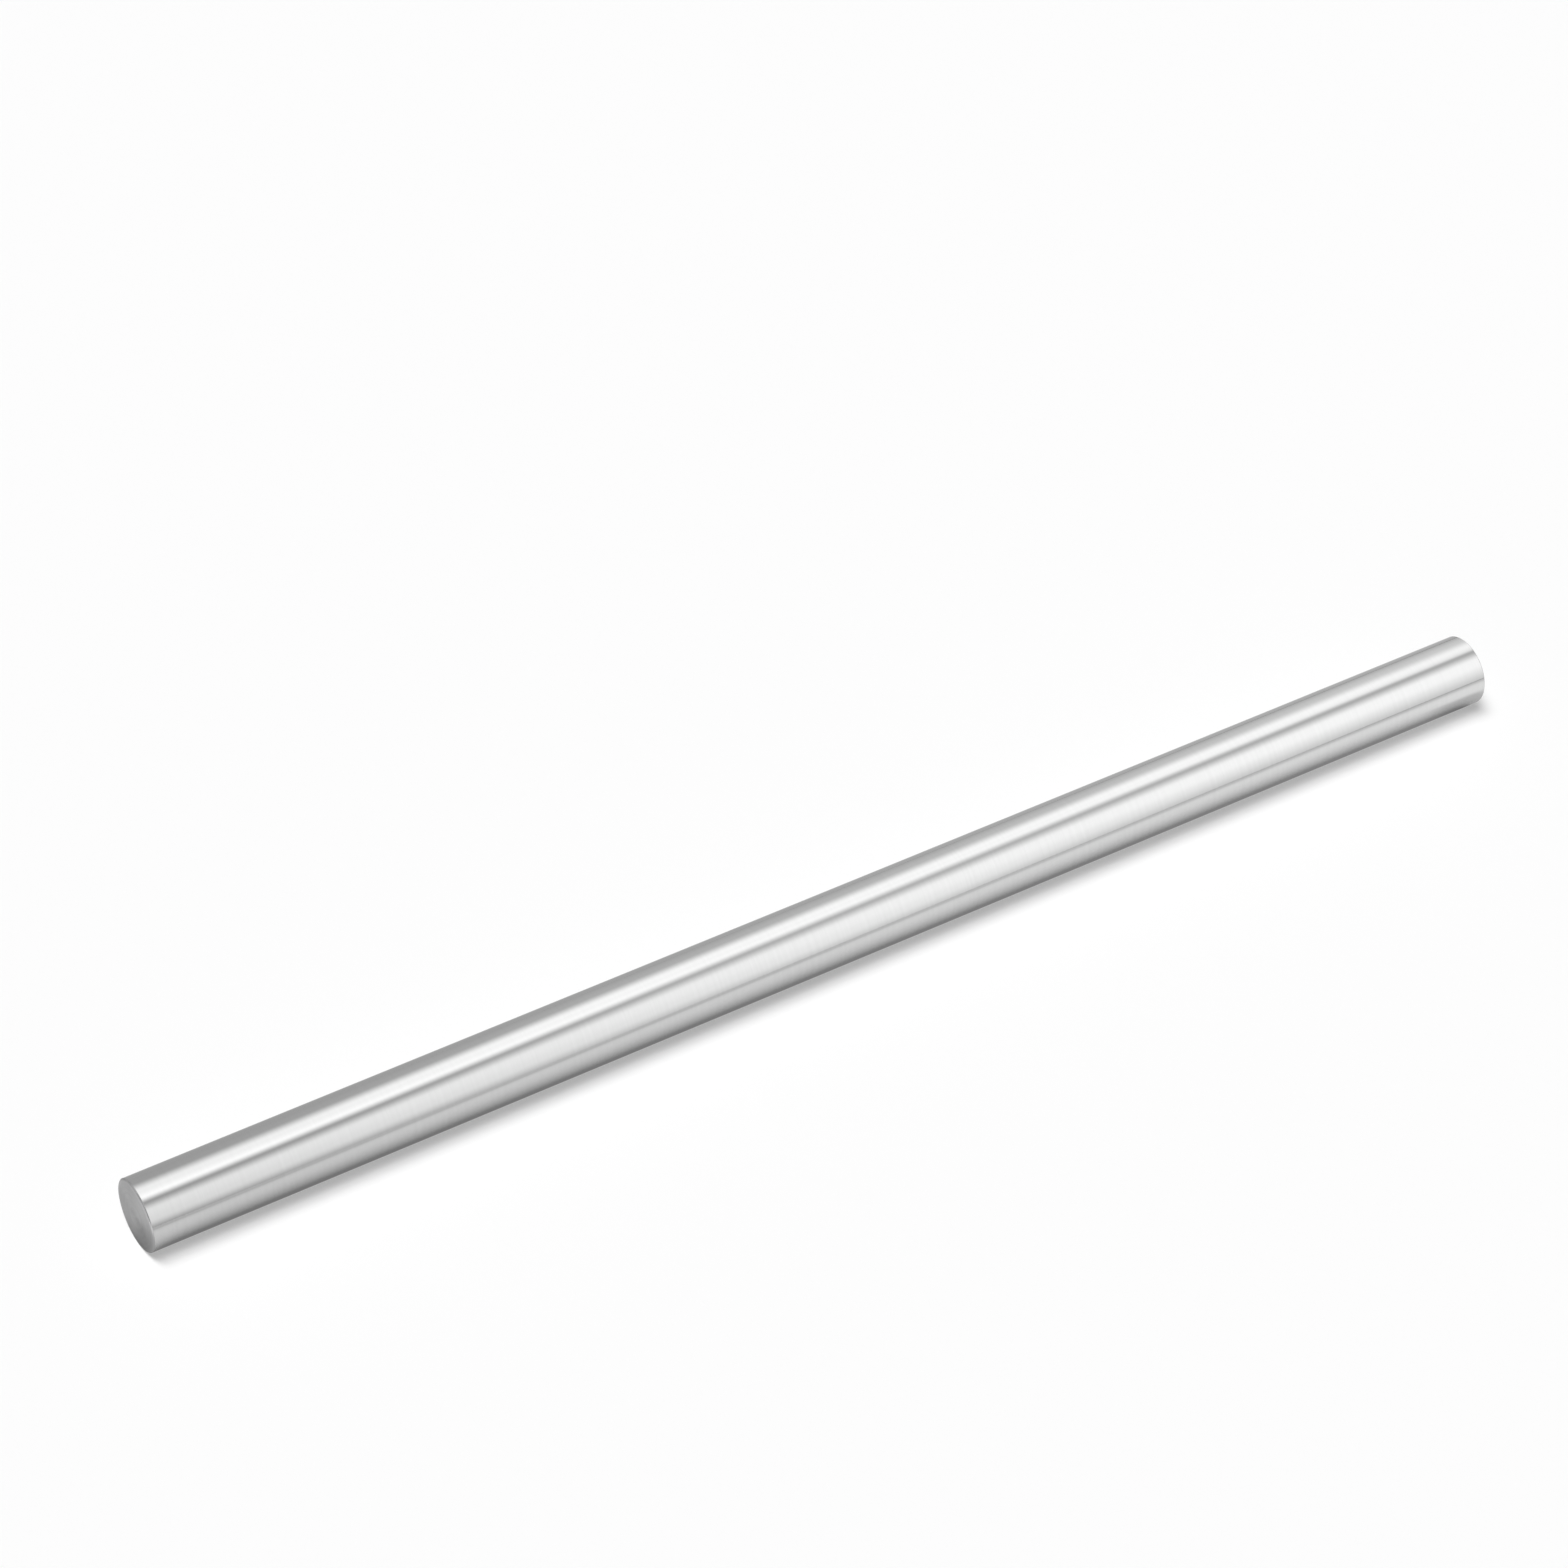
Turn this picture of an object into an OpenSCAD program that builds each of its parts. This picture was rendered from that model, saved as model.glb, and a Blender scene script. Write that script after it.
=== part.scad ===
// Linear shaft: one solid round steel bar, ground and hard chromed, with a chamfer at each end.
// It lies along X, with its axis on the X axis, its middle at the origin and Z up.
// All sizes are in millimetres.

/* [Shaft] */
// Diameter of the ground running surface
shaft_d = 12; // [6:0.5:30]
// Length from one end face to the other
shaft_l = 250; // [50:1:600]

/* [Ends] */
// Length of each chamfer along the shaft
chamfer_l = 0.3; // [0.2:0.1:1]
// Angle between each chamfer and the shaft's axis
chamfer_angle = 45; // [30:5:60]
// Radius that breaks both edges of each chamfer
edge_r = 0.05; // [0.02:0.01:0.1]

/* [Hidden] */

// Facets of a full turn of the shaft, and of the small circles that round its edges
TURN_FN = 128;
EDGE_FN = 48;

shaft_r = shaft_d / 2;
shaft_end = shaft_l / 2;
// The flat end face's radius, and where the running surface stops
face_r = shaft_r - chamfer_l * tan(chamfer_angle);
running_end = shaft_end - chamfer_l;

// Half of the lengthwise section, as [radius, place along the axis], with its edges still sharp
SECTION = [
    [0, -shaft_end],
    [face_r, -shaft_end],
    [shaft_r, -running_end],
    [shaft_r, running_end],
    [face_r, shaft_end],
    [0, shaft_end]
];
// The section's four turned edges. Its first and last points lie on the axis.
EDGES = [for (i = [1 : len(SECTION) - 2]) [SECTION[i - 1], SECTION[i], SECTION[i + 1]]];

// The direction from one point to another, one millimetre long
function toward(from, to) = (to - from) / norm(to - from);

// Half of the angle inside the section at an edge, given with the points before and after it
function half_angle(edge) = acos(toward(edge[1], edge[0]) * toward(edge[1], edge[2])) / 2;

// The centre of the circle that rounds an edge
function round_centre(edge) =
    let (inward = toward(edge[1], edge[0]) + toward(edge[1], edge[2]))
    edge[1] + edge_r / sin(half_angle(edge)) * inward / norm(inward);

// The two points where that circle meets the straight lines beside the edge
function round_ends(edge) =
    let (setback = edge_r / tan(half_angle(edge)))
    [for (neighbour = [edge[0], edge[2]]) edge[1] + setback * toward(edge[1], neighbour)];

// Half of the section with every edge cut back to its round's two ends, and the round put on
module rounded_section() {
    cut_back = [for (edge = EDGES) each round_ends(edge)];
    polygon([SECTION[0], each cut_back, SECTION[len(SECTION) - 1]]);
    for (edge = EDGES) translate(round_centre(edge)) circle(edge_r, $fn = EDGE_FN);
}

// The section turned about the axis, and laid along X
module shaft() {
    color("silver") rotate([0, 90, 0]) rotate_extrude($fn = TURN_FN) rounded_section();
}

shaft();
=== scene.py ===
"""A precision linear shaft: a ground and hard-chromed steel bar with chamfered, bare steel ends.

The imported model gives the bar's length and diameter. This script turns the bar as a fine mesh in that
place, gives it its ground chrome and its turned steel, and sets it on a pale studio floor. All sizes are
in metres. The shaft lies along X with its axis on the X axis.
"""

import math
from typing import NamedTuple

import bmesh
import bpy
from bpy.props import FloatProperty, FloatVectorProperty, IntProperty, PointerProperty
from mathutils import Matrix, Vector


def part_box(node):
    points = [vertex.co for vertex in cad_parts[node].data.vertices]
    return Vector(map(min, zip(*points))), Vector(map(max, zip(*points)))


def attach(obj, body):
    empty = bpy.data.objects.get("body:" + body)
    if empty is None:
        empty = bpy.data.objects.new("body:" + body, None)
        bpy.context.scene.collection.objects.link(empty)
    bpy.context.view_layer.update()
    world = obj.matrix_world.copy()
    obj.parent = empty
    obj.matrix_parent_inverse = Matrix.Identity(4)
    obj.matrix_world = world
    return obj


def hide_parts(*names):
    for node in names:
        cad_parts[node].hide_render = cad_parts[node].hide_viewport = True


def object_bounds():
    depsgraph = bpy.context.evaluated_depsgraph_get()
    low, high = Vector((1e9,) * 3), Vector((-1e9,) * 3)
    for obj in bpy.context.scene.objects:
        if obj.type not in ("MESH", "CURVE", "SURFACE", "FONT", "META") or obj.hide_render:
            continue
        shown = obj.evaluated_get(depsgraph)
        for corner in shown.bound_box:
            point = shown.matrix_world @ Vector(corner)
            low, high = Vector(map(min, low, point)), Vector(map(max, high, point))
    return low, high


bl_info = {
    "name": "Linear Shaft",
    "version": (1, 0, 0),
    "blender": (4, 5, 0),
    "location": "View3D > Sidebar > Linear Shaft",
    "description": "Turns a ground and chromed linear shaft and sets it in a small studio",
    "category": "Add Mesh",
}

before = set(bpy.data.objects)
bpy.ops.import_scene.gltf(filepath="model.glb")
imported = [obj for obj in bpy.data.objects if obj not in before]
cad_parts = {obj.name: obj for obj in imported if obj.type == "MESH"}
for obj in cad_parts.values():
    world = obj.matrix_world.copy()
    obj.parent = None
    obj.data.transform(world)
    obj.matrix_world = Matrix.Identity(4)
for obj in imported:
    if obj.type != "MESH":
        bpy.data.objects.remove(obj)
CAD_LOW, CAD_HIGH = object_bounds()
SHAFT_LOW, SHAFT_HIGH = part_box("shaft")

MM = 0.001
UM = 0.000001

CHROME, STEEL = range(2)

# Places of the Mix node's colour sockets, whose names its other sockets share
MIX_FIRST_COLOUR, MIX_SECOND_COLOUR, MIX_COLOUR = 6, 7, 2


class Ramp(NamedTuple):
    """A smooth step: low before start and high past end. The start may be the larger of the two."""

    start: float
    end: float
    low: float = 0.0
    high: float = 1.0


class Edge(NamedTuple):
    """A light box's edge: its place round the shaft and the width of its fade, in degrees."""

    place: float
    softness: float


# Noise levels between which a cut line goes from dull to bright, and the oil film from bare to full
BRIGHT_LINES = Ramp(0.12, 0.4)
OIL_PATCHES = Ramp(0.35, 0.7)
# Brightness and roughness over a surface, from lowest to highest, as shares of the plain value
CHROME_SHADES = (0.985, 1.01)
CHROME_DULLNESS = (0.85, 1.2)
STEEL_SHADES = (0.94, 1.06)
STEEL_DULLNESS = (0.92, 1.08)
# Roughness that a bright line on the chrome takes off
LINE_POLISH = 0.015
# Width of a wiping stroke on the chrome and on the ends
CHROME_STROKE = 9 * MM
STEEL_STROKE = 3 * MM
CHROME_ANISOTROPY = 0.45
STEEL_ANISOTROPY = 0.7
# A quarter of a turn, which stretches the shine across the cut lines
QUARTER_TURN = 0.25

# Edges of the light boxes: front and back edge of the overhead box, low and top edge of the front box
OVERHEAD_FRONT = Edge(76.7, 16.5)
OVERHEAD_BACK = Edge(134.0, 34.0)
FRONT_LOW = Edge(8.0, 34.0)
FRONT_TOP = Edge(61.0, 21.6)
# Changes with a direction's angle round the shaft, in degrees: 0 in front, 90 overhead, 180 behind
BACK_GLOW = Ramp(200.0, 145.0, 0.0, 0.74)
GAP_START = Ramp(104.0, 96.0)
BELOW_BOXES = Ramp(50.0, 40.0)
OVERHEAD_RISE = Ramp(115.0, 86.0, 0.82, 1.0)
OVERHEAD_BEHIND = Ramp(90.0, 130.0)
FRONT_RISE = Ramp(20.0, 51.5, 0.91, 1.0)
FRONT_LOW_DIM = Ramp(10.0, 45.0, 0.35, 1.0)
# Change with the angle away from overhead, in degrees, past the ends of both boxes
END_LIGHT = Ramp(65.0, 15.0, 0.46, 0.95)
OVERHEAD_ANGLE = 90.0
# Changes with the share of a direction that points along the shaft
ALONG_SHARE = Ramp(0.17, 0.72)
MIDDLE_RISE = Ramp(0.27, 0.4)
MIDDLE_FALL = Ramp(0.56, 0.42)
LOW_ROOM = Ramp(0.23, 0.42, 0.39, 0.94)
OVERHEAD_LIFT = Ramp(0.26, 0.37, 0.0, 0.12)
OVERHEAD_FAR = Ramp(0.5, 0.54, 1.0, 0.95)
FRONT_LIFT = Ramp(0.2, 0.52, 0.0, 0.29)
FRONT_FAR = Ramp(0.4, 0.5)
FRONT_PAST = Ramp(0.56, 0.7, 1.0, 0.68)
PAST_BOXES = Ramp(0.74, 0.93)
# Brightness that the room gains in front: what grows along the shaft, and what the middle adds
GAP_GLOW = 0.2
MIDDLE_GLOW = 0.16

# The floor's painted light in the metal: brighter near the shaft, greyer behind and far in front, rising
# towards the far end, brightest just past the near end and dim far off to either side. The first two run
# over Y, behind the shaft and in front, the others over X.
FLOOR_BEHIND = Ramp(5 * MM, 25 * MM, 1.0, 0.5)
FLOOR_AHEAD = Ramp(-17 * MM, -92 * MM, 1.0, 0.69)
FLOOR_ALONG = Ramp(-140 * MM, 140 * MM, 1.06, 1.31)
FLOOR_NEAR_END = Ramp(-131 * MM, -145 * MM, 1.0, 1.6)
FLOOR_FAR_LEFT = Ramp(-165 * MM, -300 * MM, 1.0, 0.4)
FLOOR_FAR_RIGHT = Ramp(230 * MM, 430 * MM, 1.0, 0.45)
# The shaft's painted shadow on the floor as the metal mirrors it, by how open the place is to the sky
OPEN_FLOOR = Ramp(0.434, 1.05, 0.23, 1.0)
OPENNESS_REACH = 100 * MM
OPENNESS_SAMPLES = 8
# A painted shadow on the floor at the far end: before the end, past it and beside the shaft's line
PAINTED_END_SHADOW_START = Ramp(SHAFT_HIGH.x - 10 * MM, SHAFT_HIGH.x)
PAINTED_END_SHADOW_STOP = Ramp(SHAFT_HIGH.x + 8 * MM, SHAFT_HIGH.x + 2 * MM)
PAINTED_END_SHADOW_SIDE = Ramp(16 * MM, 10 * MM)
PAINTED_END_SHADOW_DEPTH = 0.33
# Leans of the key lamps to the front, in degrees. In a row across the shaft they make one broad light.
KEY_LEANS = (16.0, 5.5, -5.0)


class ShaftSizes(bpy.types.PropertyGroup):
    """The bar's own sizes."""

    length: FloatProperty(
        name="Length",
        description="From one end face to the other",
        default=SHAFT_HIGH.x - SHAFT_LOW.x,
        min=50 * MM,
        unit="LENGTH",
    )
    diameter: FloatProperty(
        name="Diameter",
        description="Across the ground running surface",
        default=SHAFT_HIGH.z - SHAFT_LOW.z,
        min=5 * MM,
        unit="LENGTH",
    )
    chamfer: FloatProperty(
        name="Chamfer",
        description="Length of each chamfer along the shaft",
        default=0.3 * MM,
        unit="LENGTH",
    )
    chamfer_angle: FloatProperty(
        name="Chamfer Angle",
        description="Between each chamfer and the shaft's axis",
        default=math.radians(45),
        subtype="ANGLE",
    )
    edge_round: FloatProperty(
        name="Broken Edge",
        description="Radius that breaks a chamfer's edge to the running surface",
        default=0.05 * MM,
        unit="LENGTH",
    )
    border: FloatProperty(
        name="Border",
        description="Width of an end face's outer part, which leans to its chamfer",
        default=0.8 * MM,
        unit="LENGTH",
    )
    border_drop: FloatProperty(
        name="Border Drop",
        description="How far the border falls back at the chamfer",
        default=0.1 * MM,
        unit="LENGTH",
    )
    face_blend: FloatProperty(
        name="Face Blend",
        description="Half width of the soft bend from face to border",
        default=0.35 * MM,
        unit="LENGTH",
    )
    rim_blend: FloatProperty(
        name="Rim Blend",
        description="Half width of the soft bend from border to chamfer",
        default=0.1 * MM,
        unit="LENGTH",
    )
    facets: IntProperty(
        name="Facets",
        description="Flats round a full turn of the mesh",
        default=256,
        min=32,
    )
    rings: IntProperty(
        name="Rings",
        description="Rings that divide the running surface",
        default=60,
        min=1,
    )
    face_rings: IntProperty(
        name="Face Rings",
        description="Rings that divide an end face",
        default=6,
        min=1,
    )
    round_steps: IntProperty(
        name="Round Steps",
        description="Flats across a rounded corner",
        default=6,
        min=2,
    )


class ShaftFinish(bpy.types.PropertyGroup):
    """Colours and surface textures of the chrome and of the bare steel."""

    chrome: FloatVectorProperty(
        name="Chrome",
        description="Hard chrome's own tint",
        default=(0.552, 0.553, 0.552),
        subtype="COLOR",
    )
    chrome_roughness: FloatProperty(
        name="Chrome Roughness",
        description="Of the ground chrome",
        default=0.065,
    )
    lay_pitch: FloatProperty(
        name="Grinding Pitch",
        description="Typical width of a grinding line",
        default=0.06 * MM,
        unit="LENGTH",
    )
    lay_depth: FloatProperty(
        name="Grinding Depth",
        description="Depth of the grinding lines",
        default=0.12 * UM,
        unit="LENGTH",
    )
    steel: FloatVectorProperty(
        name="Bare Steel",
        description="Tint of the cut steel ends",
        default=(0.39, 0.39, 0.392),
        subtype="COLOR",
    )
    face_roughness: FloatProperty(
        name="Face Roughness",
        description="Of the turned end faces",
        default=0.42,
    )
    rim_roughness: FloatProperty(
        name="Rim Roughness",
        description="Of the chamfers, where the cut is finest",
        default=0.3,
    )
    tool_pitch: FloatProperty(
        name="Tool Pitch",
        description="Distance between the tool's marks on an end",
        default=0.09 * MM,
        unit="LENGTH",
    )
    tool_depth: FloatProperty(
        name="Tool Depth",
        description="Depth of the tool's marks on an end",
        default=1.0 * UM,
        unit="LENGTH",
    )


class StudioSettings(bpy.types.PropertyGroup):
    """The camera, the floor and the light."""

    azimuth: FloatProperty(
        name="Azimuth",
        description="Camera's turn about Z from looking along +Y",
        default=math.radians(-34.87),
        subtype="ANGLE",
    )
    elevation: FloatProperty(
        name="Elevation",
        description="Camera's height above the horizon",
        default=math.radians(44.25),
        subtype="ANGLE",
    )
    roll: FloatProperty(
        name="Roll",
        description="Camera's turn about its own line of sight",
        default=math.radians(4.34),
        subtype="ANGLE",
    )
    distance: FloatProperty(
        name="Distance",
        description="From the camera to its aim",
        default=0.8148,
        unit="LENGTH",
    )
    aim: FloatVectorProperty(
        name="Aim",
        description="Point that the camera looks at",
        default=(0.0088, 0.0318, 0.0),
        subtype="XYZ",
    )
    lens: FloatProperty(name="Lens", description="Focal length in millimetres", default=114.18)
    white: FloatProperty(
        name="White",
        description="Brightness of the floor and of all behind it",
        default=0.981,
    )
    paper: FloatProperty(
        name="Paper",
        description="Share of the light that the paper floor sends back",
        default=0.6,
    )
    floor_side: FloatProperty(
        name="Floor Side",
        description="Length of the floor's side",
        default=8.0,
        unit="LENGTH",
    )
    room: FloatProperty(
        name="Room",
        description="Brightness of the room round the light boxes",
        default=0.52,
    )
    overhead: FloatProperty(
        name="Overhead Box",
        description="Brightness of the light box overhead",
        default=1.9,
    )
    front: FloatProperty(
        name="Front Box",
        description="Brightness of the light box in front",
        default=1.3,
    )
    box_turn: FloatProperty(
        name="Box Turn",
        description="Turn of the light boxes' facing edges about Z from the shaft's line",
        default=math.radians(40),
        subtype="ANGLE",
    )
    fill: FloatProperty(
        name="Fill",
        description="Brightness of the plain light all round",
        default=0.06,
    )
    key: FloatProperty(name="Key Lamps", description="Strength of each lamp overhead", default=1.1)
    key_size: FloatProperty(
        name="Key Size",
        description="Apparent width of a lamp overhead",
        default=math.radians(19),
        subtype="ANGLE",
    )
    key_side: FloatProperty(
        name="Key Side",
        description="Lean of the lamps to the near end's side",
        default=math.radians(16),
        subtype="ANGLE",
    )


def add_node(tree, kind, inputs=None, **settings):
    """A new node with its settings made and its inputs set to values or linked to sockets."""
    node = tree.nodes.new(kind)
    for name, value in settings.items():
        setattr(node, name, value)
    for name, value in (inputs or {}).items():
        if isinstance(value, bpy.types.NodeSocket):
            tree.links.new(value, node.inputs[name])
        else:
            node.inputs[name].default_value = value
    return node


def calculate(tree, operation, *values):
    """The result socket of a Math node."""
    return add_node(tree, "ShaderNodeMath", dict(enumerate(values)), operation=operation).outputs["Value"]


def multiply(tree, first, *others):
    """The product of all the values, of which the first is a socket."""
    for other in others:
        first = calculate(tree, "MULTIPLY", first, other)
    return first


def ease(tree, value, ramp):
    """A value's place on a ramp."""
    inputs = {
        "Value": value,
        "From Min": ramp.start,
        "From Max": ramp.end,
        "To Min": ramp.low,
        "To Max": ramp.high,
    }
    return add_node(tree, "ShaderNodeMapRange", inputs, interpolation_type="SMOOTHSTEP").outputs["Result"]


def blend_values(tree, factor, first, second):
    """A plain mix of two numbers."""
    inputs = {"Factor": factor, "A": first, "B": second}
    return add_node(tree, "ShaderNodeMix", inputs, data_type="FLOAT").outputs["Result"]


def noise(tree, point, scale, detail, roughness):
    """The level of a noise texture at a point."""
    inputs = {"Vector": point, "Scale": scale, "Detail": detail, "Roughness": roughness}
    return add_node(tree, "ShaderNodeTexNoise", inputs).outputs["Fac"]


def new_group(name, inputs, outputs):
    """A shader node group with float and vector sockets, and its two end nodes."""
    tree = bpy.data.node_groups.new(name, "ShaderNodeTree")
    for socket, kind in inputs.items():
        tree.interface.new_socket(socket, in_out="INPUT", socket_type=kind)
    for socket, kind in outputs.items():
        tree.interface.new_socket(socket, in_out="OUTPUT", socket_type=kind)
    return tree, tree.nodes.new("NodeGroupInput"), tree.nodes.new("NodeGroupOutput")


def place_group(tree, name, build, inputs):
    """A node of the group of this name, which is built the first time that it is asked for."""
    group = bpy.data.node_groups.get(name) or build(name)
    return add_node(tree, "ShaderNodeGroup", inputs, node_tree=group)


def build_cut_lines(name):
    """Fine lines that run round the bar, as a grinding wheel or a turning tool leaves them.

    Across is the place across the lines: along the bar on its round surface, outwards on its end faces.
    Pitch is a line's width. Round the turn the lines fade slowly, as the noise is nearly flat that way.
    """
    tree, given, result = new_group(
        name,
        {"Across": "NodeSocketFloat", "Position": "NodeSocketVector", "Pitch": "NodeSocketFloat"},
        {"Height": "NodeSocketFloat", "Bright": "NodeSocketFloat"},
    )
    fades = 150.0
    place = add_node(tree, "ShaderNodeSeparateXYZ", {"Vector": given.outputs["Position"]})
    across = calculate(tree, "DIVIDE", given.outputs["Across"], given.outputs["Pitch"])
    point = add_node(
        tree,
        "ShaderNodeCombineXYZ",
        {
            "X": across,
            "Y": multiply(tree, place.outputs["Y"], fades),
            "Z": multiply(tree, place.outputs["Z"], fades),
        },
    ).outputs["Vector"]
    fine = noise(tree, point, scale=1.0, detail=2.0, roughness=0.6)
    broad = noise(tree, point, scale=0.08, detail=1.0, roughness=0.5)
    tree.links.new(fine, result.inputs["Height"])
    tree.links.new(ease(tree, multiply(tree, fine, broad), BRIGHT_LINES), result.inputs["Bright"])
    return tree


def build_oil_film(name):
    """The thin, uneven film that wiping with an oily cloth leaves, in strokes along the bar."""
    tree, given, result = new_group(
        name,
        {"Position": "NodeSocketVector", "Stroke": "NodeSocketFloat"},
        {"Film": "NodeSocketFloat"},
    )
    stretch = 6.0
    place = add_node(tree, "ShaderNodeSeparateXYZ", {"Vector": given.outputs["Position"]})
    along = calculate(tree, "DIVIDE", place.outputs["X"], stretch)
    point = add_node(
        tree, "ShaderNodeCombineXYZ", {"X": along, "Y": place.outputs["Y"], "Z": place.outputs["Z"]}
    ).outputs["Vector"]
    strokes = calculate(tree, "DIVIDE", 1.0, given.outputs["Stroke"])
    scaled = add_node(tree, "ShaderNodeVectorMath", {0: point, "Scale": strokes}, operation="SCALE")
    cloud = noise(tree, scaled.outputs["Vector"], scale=1.0, detail=4.0, roughness=0.55)
    tree.links.new(ease(tree, cloud, OIL_PATCHES), result.inputs["Film"])
    return tree


def new_metal(name):
    """A material with a metal Principled BSDF, the object coordinates, and the tangent round the bar."""
    material = bpy.data.materials.new(name)
    material.use_nodes = True
    tree = material.node_tree
    tree.nodes.clear()
    metal = add_node(tree, "ShaderNodeBsdfPrincipled", {"Metallic": 1.0})
    output = tree.nodes.new("ShaderNodeOutputMaterial")
    tree.links.new(metal.outputs["BSDF"], output.inputs["Surface"])
    position = tree.nodes.new("ShaderNodeTexCoord").outputs["Object"]
    tangent = add_node(tree, "ShaderNodeTangent", direction_type="RADIAL", axis="X")
    tree.links.new(tangent.outputs["Tangent"], metal.inputs["Tangent"])
    metal.inputs["Anisotropic Rotation"].default_value = QUARTER_TURN
    return material, tree, metal, position


def cut_lines(tree, position, across, pitch):
    """The cut lines' group, placed in a material."""
    inputs = {"Across": across, "Position": position, "Pitch": pitch}
    node = place_group(tree, "Cut lines", build_cut_lines, inputs)
    return node.outputs["Height"], node.outputs["Bright"]


def oil_film(tree, position, stroke):
    """The oil film's group, placed in a material."""
    inputs = {"Position": position, "Stroke": stroke}
    return place_group(tree, "Oil film", build_oil_film, inputs).outputs["Film"]


def tinted(tree, colour, factor, shades):
    """A colour that a mask shades between two brightnesses."""
    dark, light = ((*(part * shade for part in colour), 1.0) for shade in shades)
    inputs = {"Factor": factor, MIX_FIRST_COLOUR: dark, MIX_SECOND_COLOUR: light}
    return add_node(tree, "ShaderNodeMix", inputs, data_type="RGBA").outputs[MIX_COLOUR]


def uneven(tree, factor, level, shares):
    """A level that a mask varies between two shares of itself."""
    low, high = shares
    return blend_values(tree, factor, level * low, level * high)


def bumped(tree, metal, height, depth):
    """Joins a height to the metal's normal, at its real depth."""
    bump = add_node(tree, "ShaderNodeBump", {"Height": height, "Distance": depth, "Strength": 1.0})
    tree.links.new(bump.outputs["Normal"], metal.inputs["Normal"])


def ground_chrome(finish):
    """Hard chrome, ground round and polished: a clear mirror with the wheel's fine lines across the bar."""
    material, tree, metal, position = new_metal("ground hard chrome")
    along = add_node(tree, "ShaderNodeSeparateXYZ", {"Vector": position}).outputs["X"]
    height, bright = cut_lines(tree, position, along, finish.lay_pitch)
    film = oil_film(tree, position, CHROME_STROKE)
    tree.links.new(tinted(tree, finish.chrome, bright, CHROME_SHADES), metal.inputs["Base Color"])
    rough = uneven(tree, film, finish.chrome_roughness, CHROME_DULLNESS)
    rough = calculate(tree, "MULTIPLY_ADD", bright, -LINE_POLISH, rough)
    tree.links.new(rough, metal.inputs["Roughness"])
    metal.inputs["Anisotropic"].default_value = CHROME_ANISOTROPY
    bumped(tree, metal, height, finish.lay_depth)
    return material


def turned_steel(finish, sizes):
    """Bare steel of the ends: the tool's fine rings, satin on the face and clearer towards the rim."""
    material, tree, metal, position = new_metal("turned steel")
    across = {0: position, 1: (0.0, 1.0, 1.0)}
    flat = add_node(tree, "ShaderNodeVectorMath", across, operation="MULTIPLY").outputs["Vector"]
    radius = add_node(tree, "ShaderNodeVectorMath", {0: flat}, operation="LENGTH").outputs["Value"]
    height, bright = cut_lines(tree, position, radius, finish.tool_pitch)
    film = oil_film(tree, position, STEEL_STROKE)
    tree.links.new(tinted(tree, finish.steel, bright, STEEL_SHADES), metal.inputs["Base Color"])
    rim = sizes.diameter / 2 - sizes.chamfer * math.tan(sizes.chamfer_angle)
    satin = uneven(tree, film, finish.face_roughness, STEEL_DULLNESS)
    at_rim = ease(tree, radius, Ramp(rim - sizes.border, rim))
    rough = blend_values(tree, at_rim, satin, finish.rim_roughness)
    tree.links.new(rough, metal.inputs["Roughness"])
    metal.inputs["Anisotropic"].default_value = STEEL_ANISOTROPY
    bumped(tree, metal, height, finish.tool_depth)
    return material


def half_section(bar, sizes):
    """Half of the lengthwise section as a chain of edges, from one end's centre to the other's."""
    radius = sizes.diameter / 2
    end = sizes.length / 2
    slope = math.tan(sizes.chamfer_angle)
    face_end = [
        (end, 0.0),
        (end, radius - sizes.chamfer * slope - sizes.border),
        (end - sizes.border_drop, radius - (sizes.chamfer - sizes.border_drop) * slope),
        (end - sizes.chamfer, radius),
    ]
    corners = [(-along, out) for along, out in face_end] + face_end[::-1]
    chain = [bar.verts.new((along, 0.0, out)) for along, out in corners]
    for before, after in zip(chain, chain[1:]):
        bar.edges.new((before, after))
    return chain


def round_corners(bar, chain, sizes):
    """Rounds the turned corners: face to border, border to chamfer, chamfer to running surface."""
    broken = sizes.edge_round * math.tan(sizes.chamfer_angle / 2)
    offsets = (sizes.face_blend, sizes.rim_blend, broken)
    for corner, offset in zip(chain[1:-1], offsets + offsets[::-1]):
        bmesh.ops.bevel(
            bar,
            geom=[corner],
            affect="VERTICES",
            offset=offset,
            offset_type="OFFSET",
            segments=sizes.round_steps,
            profile=0.5,
            material=-1,
        )


def divide_straights(bar, sizes):
    """Cuts the section's three long straight edges into rings, so that the turned faces aren't slivers."""
    straights = sorted(bar.edges, key=lambda edge: edge.calc_length())[-3:]
    for edge, rings in zip(straights, (sizes.face_rings, sizes.face_rings, sizes.rings)):
        bmesh.ops.subdivide_edges(bar, edges=[edge], cuts=rings - 1)


def turn_section(bar, sizes):
    """Spins the half section about the X axis and closes both poles."""
    bmesh.ops.spin(
        bar,
        geom=bar.verts[:] + bar.edges[:],
        cent=(0.0, 0.0, 0.0),
        axis=(1.0, 0.0, 0.0),
        angle=2 * math.pi,
        steps=sizes.facets,
        use_merge=True,
        use_duplicate=False,
    )
    weld = sizes.edge_round / 1000
    bmesh.ops.remove_doubles(bar, verts=bar.verts[:], dist=weld)
    bmesh.ops.recalc_face_normals(bar, faces=bar.faces[:])


def finish_faces(bar):
    """Gives each face its metal, and keeps the normals true where the chrome ends at a chamfer."""
    x_axis = Vector((1.0, 0.0, 0.0))
    near = math.radians(0.5)
    for face in bar.faces:
        lean = face.normal.angle(x_axis)
        face.material_index = CHROME if abs(lean - math.pi / 2) < near else STEEL
        face.smooth = True
    for edge in bar.edges:
        first, second = edge.link_faces
        edge.smooth = first.material_index == second.material_index


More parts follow.
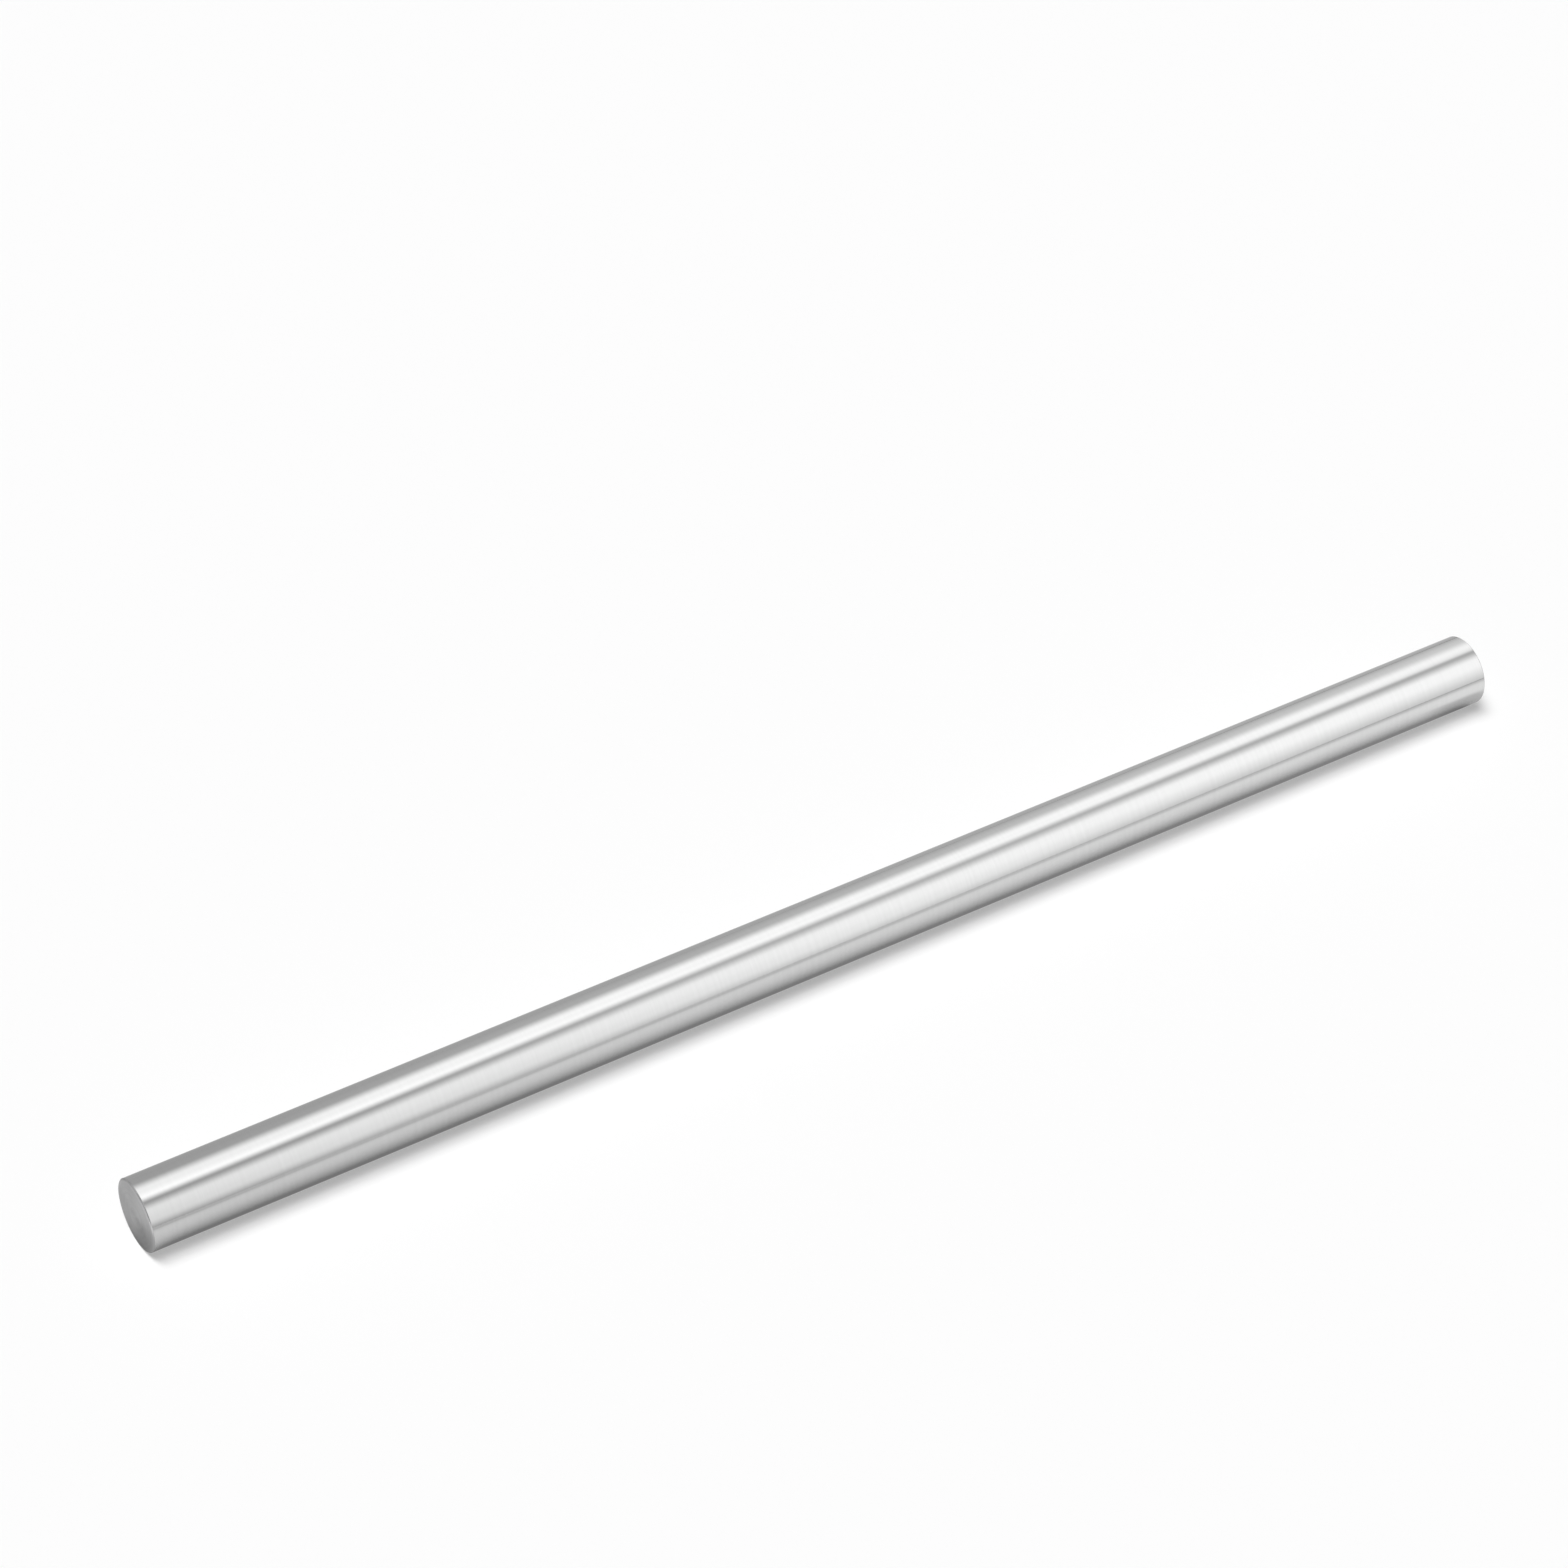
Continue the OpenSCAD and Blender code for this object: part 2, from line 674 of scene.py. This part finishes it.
def turn_shaft(sizes, finish):
    """The bar as one closed mesh, with its two metals."""
    bar = bmesh.new()
    chain = half_section(bar, sizes)
    round_corners(bar, chain, sizes)
    divide_straights(bar, sizes)
    turn_section(bar, sizes)
    finish_faces(bar)
    mesh = bpy.data.meshes.new("turned_shaft")
    bar.to_mesh(mesh)
    bar.free()
    for material in (ground_chrome(finish), turned_steel(finish, sizes)):
        mesh.materials.append(material)
    shaft = bpy.data.objects.new("turned_shaft", mesh)
    bpy.context.scene.collection.objects.link(shaft)
    return shaft


def build_light_box(name):
    """The mask of a long light box, between two angles round the shaft, each with its own softness."""
    sockets = [side + part for side in ("Low", "High") for part in (" Angle", " Edge", " Softness")]
    kinds = dict.fromkeys(sockets, "NodeSocketFloat")
    tree, given, result = new_group(name, kinds, {"Mask": "NodeSocketFloat"})
    # A half is signed, so that the low edge fades in and the high edge fades out as the angle grows
    sides = []
    for side, sign in (("Low", 1.0), ("High", -1.0)):
        half = multiply(tree, given.outputs[side + " Softness"], sign / 2)
        edge = given.outputs[side + " Edge"]
        fade = Ramp(calculate(tree, "SUBTRACT", edge, half), calculate(tree, "ADD", edge, half))
        sides.append(ease(tree, given.outputs[side + " Angle"], fade))
    tree.links.new(multiply(tree, *sides), result.inputs["Mask"])
    return tree


def light_box(tree, low_angle, low, high_angle, high):
    """A light box's mask, from its low edge to its high edge, each with the angle that it is placed by."""
    inputs = {
        "Low Angle": low_angle,
        "Low Edge": low.place,
        "Low Softness": low.softness,
        "High Angle": high_angle,
        "High Edge": high.place,
        "High Softness": high.softness,
    }
    return place_group(tree, "Light box", build_light_box, inputs).outputs["Mask"]


def angle_about(tree, direction, turn=0.0):
    """A direction's angle about a level axis: 0 in front, 90 overhead, 180 behind.

    The axis is the shaft's own. With a turn, it swings forward by that much to either side, like a V.
    """
    part = add_node(tree, "ShaderNodeSeparateXYZ", {"Vector": direction})
    aside = calculate(tree, "ABSOLUTE", part.outputs["X"])
    upward = calculate(tree, "ABSOLUTE", part.outputs["Z"])
    swung = multiply(tree, part.outputs["Y"], -math.cos(turn))
    forward = calculate(tree, "MULTIPLY_ADD", aside, math.sin(turn), swung)
    return calculate(tree, "DEGREES", calculate(tree, "ARCTAN2", upward, forward))


def room_level(tree, studio, angle, sideways):
    """The room's brightness: one glow behind, one in front, and a level of its own low in front."""
    along = ease(tree, sideways, ALONG_SHARE)
    middle = multiply(tree, ease(tree, sideways, MIDDLE_RISE), ease(tree, sideways, MIDDLE_FALL))
    behind = multiply(tree, ease(tree, angle, BACK_GLOW), along)
    gap = calculate(tree, "MULTIPLY_ADD", along, GAP_GLOW, multiply(tree, middle, MIDDLE_GLOW))
    glow = blend_values(tree, ease(tree, angle, GAP_START), behind, gap)
    room = calculate(tree, "ADD", studio.room, glow)
    return blend_values(tree, ease(tree, angle, BELOW_BOXES), room, ease(tree, sideways, LOW_ROOM))


def overhead_level(tree, studio, angle, sideways):
    """The overhead box's brightness: least behind, where it grows along the shaft, and less far on."""
    level = multiply(tree, ease(tree, angle, OVERHEAD_RISE), studio.overhead)
    lift = multiply(tree, ease(tree, angle, OVERHEAD_BEHIND), ease(tree, sideways, OVERHEAD_LIFT))
    level = calculate(tree, "MULTIPLY_ADD", level, lift, level)
    return multiply(tree, level, ease(tree, sideways, OVERHEAD_FAR))


def front_level(tree, studio, angle, sideways):
    """The front box's brightness: it grows along the shaft, less so low down, and fades at its ends."""
    level = multiply(tree, ease(tree, angle, FRONT_RISE), studio.front)
    fall = blend_values(tree, ease(tree, sideways, FRONT_FAR), 1.0, ease(tree, angle, FRONT_LOW_DIM))
    lift = multiply(tree, ease(tree, sideways, FRONT_LIFT), fall)
    level = calculate(tree, "MULTIPLY_ADD", level, lift, level)
    return multiply(tree, level, ease(tree, sideways, FRONT_PAST))


def end_level(tree, angle):
    """The brightness past the ends of both boxes, along the shaft: most overhead."""
    off_top = calculate(tree, "ABSOLUTE", calculate(tree, "SUBTRACT", angle, OVERHEAD_ANGLE))
    return ease(tree, off_top, END_LIGHT)


def mirrored_light(tree, studio):
    """The brightness of each direction as the metal mirrors it: two long light boxes in a dim room."""
    direction = tree.nodes.new("ShaderNodeTexCoord").outputs["Generated"]
    square = angle_about(tree, direction)
    skewed = angle_about(tree, direction, studio.box_turn)
    part = add_node(tree, "ShaderNodeSeparateXYZ", {"Vector": direction})
    sideways = calculate(tree, "ABSOLUTE", part.outputs["X"])
    overhead = light_box(tree, skewed, OVERHEAD_FRONT, square, OVERHEAD_BACK)
    front = light_box(tree, square, FRONT_LOW, skewed, FRONT_TOP)
    level = room_level(tree, studio, square, sideways)
    level = blend_values(tree, overhead, level, overhead_level(tree, studio, square, sideways))
    level = blend_values(tree, front, level, front_level(tree, studio, square, sideways))
    return blend_values(tree, ease(tree, sideways, PAST_BOXES), level, end_level(tree, square))


def mirror_rays(tree, ray):
    """One for a ray that the metal mirrors or that has passed through glass, and else zero."""
    return calculate(tree, "MAXIMUM", ray.outputs["Is Glossy Ray"], ray.outputs["Is Transmission Ray"])


def light_world(studio):
    """The light boxes for what the metal mirrors, a plain fill for the rest, and white behind it all."""
    world = bpy.data.worlds.new("Studio")
    world.use_nodes = True
    bpy.context.scene.world = world
    tree = world.node_tree
    tree.nodes.clear()
    ray = tree.nodes.new("ShaderNodeLightPath")
    level = blend_values(tree, mirror_rays(tree, ray), studio.fill, mirrored_light(tree, studio))
    level = blend_values(tree, ray.outputs["Is Camera Ray"], level, studio.white)
    inputs = {"Color": (1.0, 1.0, 1.0, 1.0), "Strength": level}
    background = add_node(tree, "ShaderNodeBackground", inputs)
    output = tree.nodes.new("ShaderNodeOutputWorld")
    tree.links.new(background.outputs["Background"], output.inputs["Surface"])


def key_leans(studio):
    """Each key lamp's lean to the side and to the front."""
    return [(studio.key_side, math.radians(lean)) for lean in KEY_LEANS]


def painted_floor_light(tree, place):
    """The floor's painted light in the metal, by the place on it."""
    along, across = place.outputs["X"], place.outputs["Y"]
    over_y = (FLOOR_BEHIND, FLOOR_AHEAD)
    over_x = (FLOOR_ALONG, FLOOR_NEAR_END, FLOOR_FAR_LEFT, FLOOR_FAR_RIGHT)
    painted_levels = [ease(tree, across, ramp) for ramp in over_y] + [ease(tree, along, ramp) for ramp in over_x]
    return multiply(tree, *painted_levels)


def painted_floor_shade(tree, place):
    """The shaft's painted shadow on the floor in the metal, with a second painted shadow at the far end."""
    reach = {"Distance": OPENNESS_REACH}
    openness = add_node(tree, "ShaderNodeAmbientOcclusion", reach, samples=OPENNESS_SAMPLES).outputs["AO"]
    along = place.outputs["X"]
    off_line = calculate(tree, "ABSOLUTE", place.outputs["Y"])
    # Painted shadow round the far end, on the floor as the metal mirrors it
    end_shadow = multiply(
        tree,
        ease(tree, along, PAINTED_END_SHADOW_START),
        ease(tree, along, PAINTED_END_SHADOW_STOP),
        ease(tree, off_line, PAINTED_END_SHADOW_SIDE),
    )
    end_shadow_factor = calculate(tree, "MULTIPLY_ADD", end_shadow, -PAINTED_END_SHADOW_DEPTH, 1.0)
    return multiply(tree, ease(tree, openness, OPEN_FLOOR), end_shadow_factor)


def floor_paper(studio):
    """The metal mirrors it with painted light and shade, lit near the shaft and greyer away."""
    material = bpy.data.materials.new("studio paper")
    material.use_nodes = True
    tree = material.node_tree
    tree.nodes.clear()
    ray = tree.nodes.new("ShaderNodeLightPath")
    position = tree.nodes.new("ShaderNodeTexCoord").outputs["Object"]
    place = add_node(tree, "ShaderNodeSeparateXYZ", {"Vector": position})

    paper = add_node(tree, "ShaderNodeBsdfDiffuse", {"Color": (*[studio.paper] * 3, 1.0)})
    square_on = sum(math.cos(side) * math.cos(front) for side, front in key_leans(studio))
    lit = studio.paper * (studio.fill + studio.key * square_on / math.pi)
    lift = multiply(tree, ray.outputs["Is Camera Ray"], studio.white - lit)
    lift = add_node(tree, "ShaderNodeEmission", {"Strength": lift})
    seen = add_node(tree, "ShaderNodeAddShader", {0: paper.outputs["BSDF"], 1: lift.outputs["Emission"]})

    # Painted light and shade: the floor glows in the metal by its place and by how open it is to the sky
    glow = multiply(tree, painted_floor_light(tree, place), painted_floor_shade(tree, place))
    mirrored = add_node(tree, "ShaderNodeEmission", {"Strength": glow})
    either = {0: mirror_rays(tree, ray), 1: seen.outputs["Shader"], 2: mirrored.outputs["Emission"]}
    surface = add_node(tree, "ShaderNodeMixShader", either)
    output = tree.nodes.new("ShaderNodeOutputMaterial")
    tree.links.new(surface.outputs["Shader"], output.inputs["Surface"])
    return material


def lay_floor(studio, level):
    """A square sheet of paper at the height that the shaft rests on."""
    sheet = bmesh.new()
    bmesh.ops.create_grid(sheet, x_segments=1, y_segments=1, size=studio.floor_side / 2)
    bmesh.ops.translate(sheet, verts=sheet.verts[:], vec=(0.0, 0.0, level))
    mesh = bpy.data.meshes.new("studio_floor")
    sheet.to_mesh(mesh)
    sheet.free()
    mesh.materials.append(floor_paper(studio))
    floor = bpy.data.objects.new("studio_floor", mesh)
    bpy.context.scene.collection.objects.link(floor)


def hang_key_lamps(studio):
    """Broad lamps overhead, which draw the shaft's soft shadow and aren't mirrored in it."""
    for side, front in key_leans(studio):
        lamp = bpy.data.lights.new("key lamp", "SUN")
        lamp.energy = studio.key
        lamp.angle = studio.key_size
        holder = bpy.data.objects.new("key lamp", lamp)
        holder.visible_glossy = False
        holder.rotation_euler = (front, -side, 0.0)
        bpy.context.scene.collection.objects.link(holder)


def place_camera(studio):
    """The camera, at its azimuth, elevation and roll round its aim."""
    data = bpy.data.cameras.new("camera")
    data.lens = studio.lens
    data.clip_start = 10 * MM
    camera = bpy.data.objects.new("camera", data)
    facing = Matrix.Rotation(studio.azimuth, 4, "Z")
    tilt = Matrix.Rotation(math.pi / 2 - studio.elevation, 4, "X")
    roll = Matrix.Rotation(studio.roll, 4, "Z")
    back = Matrix.Translation((0.0, 0.0, studio.distance))
    camera.matrix_world = Matrix.Translation(studio.aim) @ facing @ tilt @ roll @ back
    bpy.context.scene.collection.objects.link(camera)
    bpy.context.scene.camera = camera


class SHAFT_OT_turn_shaft(bpy.types.Operator):
    """Turn the shaft and give it its chrome and its bare steel ends"""

    bl_idname = "shaft.turn_shaft"
    bl_label = "Turn the Shaft"

    def execute(self, context):
        shaft = turn_shaft(context.scene.shaft_sizes, context.scene.shaft_finish)
        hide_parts("shaft")
        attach(shaft, "root")
        return {"FINISHED"}


class SHAFT_OT_set_stage(bpy.types.Operator):
    """Lay the floor, light the studio and place the camera"""

    bl_idname = "shaft.set_stage"
    bl_label = "Set the Stage"

    def execute(self, context):
        studio = context.scene.shaft_studio
        lay_floor(studio, CAD_LOW.z)
        light_world(studio)
        hang_key_lamps(studio)
        place_camera(studio)
        context.scene.view_settings.view_transform = "Standard"
        return {"FINISHED"}


class SHAFT_PT_panel(bpy.types.Panel):
    """The shaft's sizes, its finish and its stage"""

    bl_label = "Linear Shaft"
    bl_idname = "SHAFT_PT_panel"
    bl_space_type = "VIEW_3D"
    bl_region_type = "UI"
    bl_category = "Linear Shaft"

    def draw(self, context):
        scene = context.scene
        for settings, operator in (
            (scene.shaft_sizes, None),
            (scene.shaft_finish, SHAFT_OT_turn_shaft),
            (scene.shaft_studio, SHAFT_OT_set_stage),
        ):
            box = self.layout.box()
            for name in settings.__annotations__:
                box.prop(settings, name)
            if operator:
                box.operator(operator.bl_idname)


SETTINGS = {"shaft_sizes": ShaftSizes, "shaft_finish": ShaftFinish, "shaft_studio": StudioSettings}
CLASSES = (*SETTINGS.values(), SHAFT_OT_turn_shaft, SHAFT_OT_set_stage, SHAFT_PT_panel)


def register():
    for cls in CLASSES:
        bpy.utils.register_class(cls)
    for name, cls in SETTINGS.items():
        setattr(bpy.types.Scene, name, PointerProperty(type=cls))


def unregister():
    for name in SETTINGS:
        delattr(bpy.types.Scene, name)
    for cls in reversed(CLASSES):
        bpy.utils.unregister_class(cls)


def main():
    register()
    bpy.ops.shaft.turn_shaft()
    bpy.ops.shaft.set_stage()


if __name__ == "__main__":
    main()
